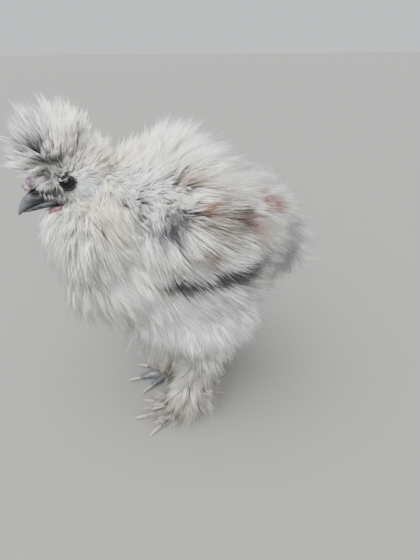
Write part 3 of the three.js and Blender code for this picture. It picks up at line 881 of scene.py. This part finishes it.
def node(tree, kind, inputs=(), out=0, **settings):
    """Adds a shader node, sets or links its inputs, and returns its output `out`."""
    made = tree.nodes.new("ShaderNode" + kind)
    for key, value in settings.items():
        setattr(made, key, value)
    for key, value in inputs.items() if isinstance(inputs, dict) else enumerate(inputs):
        if isinstance(value, bpy.types.NodeSocket):
            tree.links.new(value, made.inputs[key])
        else:
            made.inputs[key].default_value = linear(value) if isinstance(value, str) else value
    return made.outputs[out]


SMOOTH = {"interpolation_type": "SMOOTHSTEP"}
COLOUR = {"data_type": "RGBA", "out": 2}
GRAINY = {"Detail": 3.0, "Roughness": 0.55}


def material(name, roughness, **sockets):
    """A new material, and `node` for its tree."""
    made = bpy.data.materials.new(name)
    made.use_nodes = True
    for key, value in {"Roughness": roughness, **sockets}.items():
        made.node_tree.nodes["Principled BSDF"].inputs[key.replace("_", " ")].default_value = value
    return made, partial(node, made.node_tree)


def finished(made, colour, bump=None):
    """The material, with its colour and its bump linked to its shader."""
    shader = made.node_tree.nodes["Principled BSDF"]
    made.node_tree.links.new(colour, shader.inputs["Base Color"])
    if bump is not None:
        made.node_tree.links.new(bump, shader.inputs["Normal"])
    return made


# %% [markdown]
# ## Markings and painted shade
#
# One set of soft patches colours the skin and the coat, by the place on the body: the vertex's own on the
# skin, and one along the tuft's path for a barb, so that the barbs of a tuft agree. A random number that
# each tuft and each barb carries breaks up the patches' edges. A few of the patches are painted shade: the
# band under the wing, the belly, the shanks and the feet.

# %% The markings and painted shade, from the ground colour up
# Colour, middle, radii (mm), strength, softness. Middles are given for the left side.
MARKINGS_AND_SHADE = [
    ("#f4eedb", (-66, -34, 210), (36, 50, 38), 0.9, 0.5),  # cream nape and side of the neck
    ("#f0efec", (-108, -20, 150), (34, 60, 34), 0.6, 0.6),  # pale breast
    ("#bebdb9", (-98, -34, 122), (30, 50, 20), 0.6, 1.0),
    ("#f6f8f9", (-50, -45, 210), (18, 30, 18), 0.9, 0.6),  # cool white shoulder
    ("#a4a5ad", (-52, -70, 186), (13, 30, 11), 0.85, 0.8),  # purple-grey before the wing
    ("#46474c", (-40, -72, 201), (7, 14, 3.5), 0.9, 0.7),  # charcoal smudges on the wing
    ("#45464c", (-36, -68, 195), (9, 20, 4.5), 0.95, 0.6),
    ("#515258", (-41, -70, 186), (8, 20, 5.5), 0.95, 0.6),
    ("#7f7469", (-2, -64, 190), (20, 30, 14), 0.85, 0.7),  # taupe middle of the wing
    ("#9c8473", (-19, -58, 214), (15, 24, 7), 0.85, 0.8),  # brown tinge high on the wing
    ("#a3604a", (-4, -56, 208), (7, 18, 3.2), 0.8, 0.6),  # small rusty flecks
    ("#974e3c", (-12, -62, 200), (6, 16, 3.6), 0.85, 0.6),
    ("#5c4640", (10, -58, 190), (8, 22, 5.5), 0.95, 0.6),
    ("#8c4430", (33, -47, 192), (9, 24, 5), 1.0, 0.4),  # the red-brown streak behind
    ("#8c4430", (42, -46, 186), (8, 24, 5), 1.0, 0.4),
    ("#c39a92", (20, -58, 179), (7, 22, 10), 0.75, 0.7),  # pinkish edge of the wing
    ("#877468", (-17, -70, 169), (11, 24, 5), 0.85, 0.7),
    ("#a2a19f", (-30, -68, 160), (26, 30, 7), 0.7, 0.8),  # grey lower wing
    ("#2b2a2e", (-30, -64, 148), (20, 40, 6), 1.0, 0.45),  # near-black band under the wing: painted shadow of its lower edge
    ("#2b2a2e", (0, -62, 152), (20, 40, 5.5), 1.0, 0.45),
    ("#3b3a3d", (19, -56, 159), (9, 30, 7), 0.95, 0.6),
    ("#6b6c67", (50, -38, 171), (10, 24, 5), 0.75, 0.8),
    ("#b0b3b5", (54, -30, 149), (21, 44, 22), 0.8, 0.7),  # blue-grey rump and tail
    ("#fbfcfc", (-12, -55, 116), (42, 45, 24), 0.95, 0.4),  # white thighs
    ("#dededc", (20, 0, 88), (50, 30, 26), 0.7, 0.6),
    ("#8e8e90", (-46, -10, 78), (28, 50, 14), 0.85, 0.7),  # belly darker: painted shade
    ("#a6a29b", (-18, -28, 46), (30, 34, 20), 0.8, 0.7),  # shanks darker: painted shade
    ("#6f6c67", (-8, -40, 28), (18, 20, 13), 0.75, 1.0),
    ("#a39c8d", (-24, -28, 8), (60, 50, 20), 0.85, 0.6),  # feet brownish grey, darker near the ground as painted shade
    ("#69655c", (-38, -26, 7), (26, 30, 9), 0.65, 1.2),
    ("#efece6", (-94, -6, 240), (30, 34, 24), 0.9, 0.5),  # white crest
    ("#1f1f23", (-108, -15, 229), (12, 12, 11.5), 1.0, 0.7),  # dark patch on the side of the crest
    ("#34343a", (-121, -9, 233), (9, 11, 11), 0.85, 0.9),
    ("#b4b5b8", (-114, -6, 242), (18, 24, 18), 0.75, 0.9),
    ("#6c6d72", (-121, -6, 231), (13, 20, 16), 0.7, 1.0),
    ("#85868a", (-122, -4, 219), (11, 16, 12), 0.7, 0.9),
    ("#8d8c8b", (-84, -12, 234), (10, 12, 9), 0.5, 0.8),
    ("#f4f3f0", (-111, -8, 213), (8, 12, 7), 1.0, 0.5),  # white tuft over the base of the bill
    ("#efeeeb", (-103, -12, 215), (9, 10, 4.5), 0.9, 0.5),
    ("#ffffff", (-82, -16, 207), (12, 12, 11), 1.0, 0.4),  # pale ear tuft
    ("#b4b5b8", (-97, -12, 193), (13, 12, 6), 0.7, 0.7),  # grey cheek under the eye
    ("#5a5c62", (-108, -9, 190), (8, 12, 6), 0.85, 0.6),
    ("#303137", (-107, -9, 199.5), (9, 10, 3.6), 0.95, 0.5),  # dark bare skin before the eye
]


def mirrored(add, position):
    """The position on the right side, for either side."""
    x, y, z = add("SeparateXYZ", [position]).node.outputs
    return add("CombineXYZ", [x, add("Math", [y], operation="ABSOLUTE"), z])


def painted(add, position, shade, streak):
    """The colour of markings and painted shade at `position`, for a tuft's `shade` and a barb's `streak`."""
    right = mirrored(add, position)
    broad = add("TexNoise", {"Vector": position, "Scale": 1000 / 22, **GRAINY})
    fine = add("TexNoise", {"Vector": position, "Scale": 1000 / 6, **GRAINY, "Detail": 2.0})
    uneven = add("Math", [shade, 0.55], operation="MULTIPLY")
    for value, weight in ((streak, 0.25), (fine, 0.5), (broad, 1.0)):
        uneven = add("Math", [value, weight, uneven], operation="MULTIPLY_ADD")
    uneven = add("Math", [uneven, 1.15], operation="SUBTRACT")
    warmth = add("MapRange", [broad, 0.35, 0.65], **SMOOTH)
    colour = add("Mix", {0: warmth, 6: "#ecedec", 7: "#efede6"}, **COLOUR)
    for code, middle, radii, strength, soft in MARKINGS_AND_SHADE:
        centre = place([middle[0], -middle[1], middle[2]])
        away = add("VectorMath", [right, list(centre)], operation="SUBTRACT")
        scaled = add("VectorMath", [away, [r / 1000 for r in radii]], operation="DIVIDE")
        far = add("VectorMath", [scaled], "Value", operation="LENGTH")
        edge = add("Math", [uneven, 0.9 * soft + 0.25, far], operation="MULTIPLY_ADD")
        mask = add("MapRange", [edge, 1 + soft / 2, 1 - soft / 2, 0, strength], **SMOOTH)
        colour = add("Mix", {0: mask, 6: colour, 7: code}, **COLOUR)
    return colour


print("markings", len(MARKINGS_AND_SHADE))

# %% [markdown]
# ## Materials
#
# Each is named for the real thing and made from what gives that its look. Feather, skin, horn and claw
# are all keratin and hardly shine; only the eye is wet. Patterns are sized in millimetres.


# %% Feather barbs and skin
def feather_barbs():
    """Keratin threads. They look silky and matt, darker near the skin where little light reaches, and
    no two tufts or barbs have quite the same tone."""
    made, add = material(
        "silky feather barbs", 0.62, Sheen_Weight=0.15, Sheen_Roughness=0.5, Specular_IOR_Level=0.35
    )
    spot = add("Attribute", out="Vector", attribute_name="spot")
    hair = add("Attribute", out="Vector", attribute_name="hair")
    along, shade, streak = add("SeparateXYZ", [hair]).node.outputs
    tone = add("MapRange", [along, 0.0, 0.6, 0.45, 1.0], **SMOOTH)
    for value, full, darkest in ((streak, 0.55, 0.5), (shade, 1.0, 0.7)):
        varied = add("MapRange", [value, 0, full, darkest, 1.12], **SMOOTH)
        tone = add("Math", [tone, varied], operation="MULTIPLY")
    colour = painted(add, spot, shade, streak)
    toned = add("VectorMath", {0: colour, "Scale": tone}, operation="SCALE")
    return finished(made, toned)


def slate_skin():
    """This breed's dark skin. It takes the plumage's markings, so that it never shines through, mixed
    with slate, most of all on the face. The toes are plain slate with scales of about 2 mm."""
    made, add = material("slate-blue skin", 0.7)
    spot = add("TexCoord", out="Object")
    x, _, z = add("SeparateXYZ", [spot]).node.outputs
    face_x = float(place([-82, 0, 0])[0])
    ahead = add("MapRange", [x, face_x, face_x - 0.01], **SMOOTH)
    above = add("MapRange", [z, 0.185, 0.195], **SMOOTH)
    on_face = add("Math", [ahead, above], operation="MULTIPLY")
    slate = add("MapRange", [on_face, 0, 1, 0.22, 0.7], **SMOOTH)
    marked = painted(add, spot, 0.5, 0.5)
    body = add("Mix", {0: slate, 6: marked, 7: "#44464d"}, **COLOUR)
    cell = add("TexVoronoi", {"Vector": spot, "Scale": 520.0}, "Distance")
    edge = add("MapRange", [cell, 0.25, 0.75], **SMOOTH)
    scales = add("Mix", {0: edge, 6: "#55595e", 7: "#34373b"}, **COLOUR)
    on_foot = add("MapRange", [z, 0.016, 0.010], **SMOOTH)
    colour = add("Mix", {0: on_foot, 6: body, 7: scales}, **COLOUR)
    bump = add("Bump", {"Height": cell, "Strength": 0.5, "Distance": 0.0005}, invert=True)
    return finished(made, colour, bump)


# %% Horn, bare flesh and eyes
def bill_horn():
    """Slate horn that grows forwards. Its grain runs along the bill, it is paler towards the tip, and
    the soft skin round the nostrils is nearly black."""
    made, add = material("slate bill horn", 0.5, Specular_IOR_Level=0.35)
    spot = add("TexCoord", out="Object")
    drawn_out = add("VectorMath", [spot, [0.3, 1, 1]], operation="MULTIPLY")
    grain = add("TexNoise", {"Vector": drawn_out, "Scale": 1000 / 1.8, **GRAINY, "Detail": 4.0})
    light = add("MapRange", [grain, 0.35, 0.65], **SMOOTH)
    colour = add("Mix", {0: light, 6: "#141518", 7: "#3f4246"}, **COLOUR)
    blotch = add("TexNoise", {"Vector": spot, "Scale": 1000 / 5, **GRAINY})
    x = add("SeparateXYZ", [spot])
    tip_x = float(place([-131, 0, 183])[0])
    from_tip = add("Math", [blotch, 0.004, x], operation="MULTIPLY_ADD")
    at_tip = add("MapRange", [from_tip, tip_x + 0.014, tip_x + 0.003], **SMOOTH)
    colour = add("Mix", {0: at_tip, 6: colour, 7: "#505356"}, **COLOUR)
    nostril = [mirrored(add, spot), list(place([-115, 4.5, 199.5]))]
    from_nostril = add("VectorMath", nostril, "Value", operation="DISTANCE")
    cere = add("MapRange", [from_nostril, 0.0085, 0.0045], **SMOOTH)
    colour = add("Mix", {0: cere, 6: colour, 7: "#0e0f12"}, **COLOUR)
    fibre = add("VectorMath", [spot, [0.25, 1, 1]], operation="MULTIPLY")
    height = add("TexNoise", {"Vector": fibre, "Scale": 1000 / 0.9, **GRAINY})
    bump = add("Bump", {"Height": height, "Strength": 0.25, "Distance": 0.0003})
    return finished(made, colour, bump)


def bare_flesh(name, pale, deep, roughness, size):
    """Soft skin over blood: a little light passes through it, and its tone changes over `size` mm."""
    made, add = material(name, roughness, Subsurface_Weight=0.12, Subsurface_Scale=0.002)
    spot = add("TexCoord", out="Object")
    tone = add("TexNoise", {"Vector": spot, "Scale": 1000 / size, **GRAINY, "Detail": 4.0})
    light = add("MapRange", [tone, 0.3, 0.7], **SMOOTH)
    colour = add("Mix", {0: light, 6: deep, 7: pale}, **COLOUR)
    height = add("TexNoise", {"Vector": spot, "Scale": 3000 / size, **GRAINY})
    bump = add("Bump", {"Height": height, "Strength": 0.4, "Distance": 0.0004})
    return finished(made, colour, bump)


def wet_eye():
    """A black pupil in a very dark brown iris, under a clear wet surface that mirrors the lamps."""
    for obj, (_, s) in zip(eyes, SIDES):
        centre, _, _, outward = eye_frame(s)
        p, _, _ = arrays(obj)
        layer = obj.data.attributes.new("from_pupil", "FLOAT", "POINT")
        cosine = np.clip(unit(p - centre) @ outward, -1, 1)
        layer.data.foreach_set("value", np.degrees(np.arccos(cosine)))
    made, add = material("wet dark eye", 0.06, Specular_IOR_Level=0.3)
    angle = add("Attribute", out="Fac", attribute_name="from_pupil")
    colour = "#010102"
    for start, stop, code in ((24, 28, "#120c0a"), (46, 52, "#060607")):
        outside = add("MapRange", [angle, start, stop], **SMOOTH)
        colour = add("Mix", {0: outside, 6: colour, 7: code}, **COLOUR)
    return finished(made, colour)


def pale_claw():
    """Worn, pale horn: smoother than the bill, with cloudy light and dark areas of 3 mm."""
    made, add = material("pale claw horn", 0.4)
    spot = add("TexCoord", out="Object")
    cloud = add("TexNoise", {"Vector": spot, "Scale": 1000 / 3, **GRAINY})
    colour = add("Mix", {0: cloud, 6: "#5f5c58", 7: "#9b9488"}, **COLOUR)
    return finished(made, colour)


feather, bare_skin, horn, eye_wet, claw_horn = (
    make() for make in (feather_barbs, slate_skin, bill_horn, wet_eye, pale_claw)
)
comb_skin = bare_flesh("mauve comb flesh", "#94858f", "#574a55", 0.6, 2.4)
wattle_skin = bare_flesh("dull red wattle flesh", "#74434e", "#45262e", 0.5, 2.4)
lobe_skin = bare_flesh("pale blue earlobe skin", "#b3c0c8", "#8b9aa4", 0.65, 3.0)
lid_skin = bare_flesh("dark eyelid skin", "#2d2e33", "#141518", 0.55, 1.6)
print("materials", len(bpy.data.materials))

# %% [markdown]
# ## Which solid each piece stands for
#
# Every piece rides on the bird's one body and replaces its solids. The guide has done its work and is
# removed.


# %% Assign materials and solids
def dress(obj, made, slot, *solids):
    obj.data.materials.clear()
    obj.data.materials.append(made)
    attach(obj, "root")
    if solids:
        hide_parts(*solids)


bpy.data.objects.remove(guide)
toe_solids = [f"toe_{key}_{name}" for key in TOES for name, _ in SIDES]
both = [f"{part}_{name}" for part in ("wing", "thigh", "shank") for name, _ in SIDES]
dress(skin, bare_skin, "plumage_body", "torso", "neck", "head", "crest", "tail", *both, *toe_solids)
SLOTS = {"torso": "body", "toe": "foot", "shank": "foot"}
for obj, name in coat:
    dress(obj, feather, "plumage_" + SLOTS.get(name, name))
dress(beak_upper, horn, "beak", "beak_upper")
dress(beak_lower, horn, "beak", "beak_lower")
dress(comb, comb_skin, "comb_skin", "comb")
for (name, _), wattle, lobe, eye, lid in zip(SIDES, wattles, lobes, eyes, eye_lids):
    dress(wattle, wattle_skin, "wattle_skin", f"wattle_{name}")
    dress(lobe, lobe_skin, "earlobe_skin", f"earlobe_{name}")
    dress(eye, eye_wet, "eye", f"eye_{name}")
    dress(lid, lid_skin, "toe_skin")
for obj, solid in claws:
    dress(obj, claw_horn, "claw", solid)

# %% [markdown]
# ## Stage, light and camera
#
# A plain pale floor lies under an even, bright sky. One very soft sun stands high in front of the bird,
# a weaker one lights its near side, and a small lamp gives the wet eyes a bright spot.
#
# The camera stands where the photograph's did: it looks down at the bird's left side from 30 degrees up.

# %% Floor, lights, camera
FLOOR_REACH = 9.0  # metres
floor_mesh = bpy.data.meshes.new("floor")
work = bmesh.new()
bmesh.ops.create_grid(work, x_segments=1, y_segments=1, size=FLOOR_REACH)
work.to_mesh(floor_mesh)
work.free()
floor = object_of("floor", floor_mesh)
paper, _ = material("matt pale paper", 0.9, Base_Color=linear("#6b6a68"))
floor.data.materials.append(paper)

world = bpy.data.worlds.new("soft sky")
bpy.context.scene.world = world
world.use_nodes = True
sky = world.node_tree.nodes["Background"]
sky.inputs["Color"].default_value = linear("#e9edf0")
sky.inputs["Strength"].default_value = 0.95


def facing(direction):
    """The rotation that turns a lamp or a camera along `direction`."""
    return Vector(direction).to_track_quat("-Z", "Y").to_euler()


def sun(name, energy, softness, direction):
    lamp = bpy.data.lights.new(name, "SUN")
    lamp.energy, lamp.angle = energy, math.radians(softness)
    object_of(name, lamp).rotation_euler = facing(direction)


sun("overcast", 9.0, 75, (0.35, 0.35, -1))
sun("near_side", 4.0, 60, (0.35, 1.0, -0.7))
catchlight = bpy.data.lights.new("catchlight", "AREA")
catchlight.size, catchlight.energy = 0.1, 1.0
object_of("catchlight", catchlight).location = (-0.08, -0.15, 0.85)

TURN, PITCH = math.radians(-15), math.radians(30)
camera = object_of("camera", bpy.data.cameras.new("camera"))
camera.data.lens, camera.data.sensor_width = 27, 36
camera.location = place([-76.35, -284.95, 285])
level_look = (-math.sin(TURN) * math.cos(PITCH), math.cos(TURN) * math.cos(PITCH))
camera.rotation_euler = facing((*level_look, -math.sin(PITCH)))
bpy.context.scene.camera = camera
print("camera at", [round(c, 3) for c in camera.location])
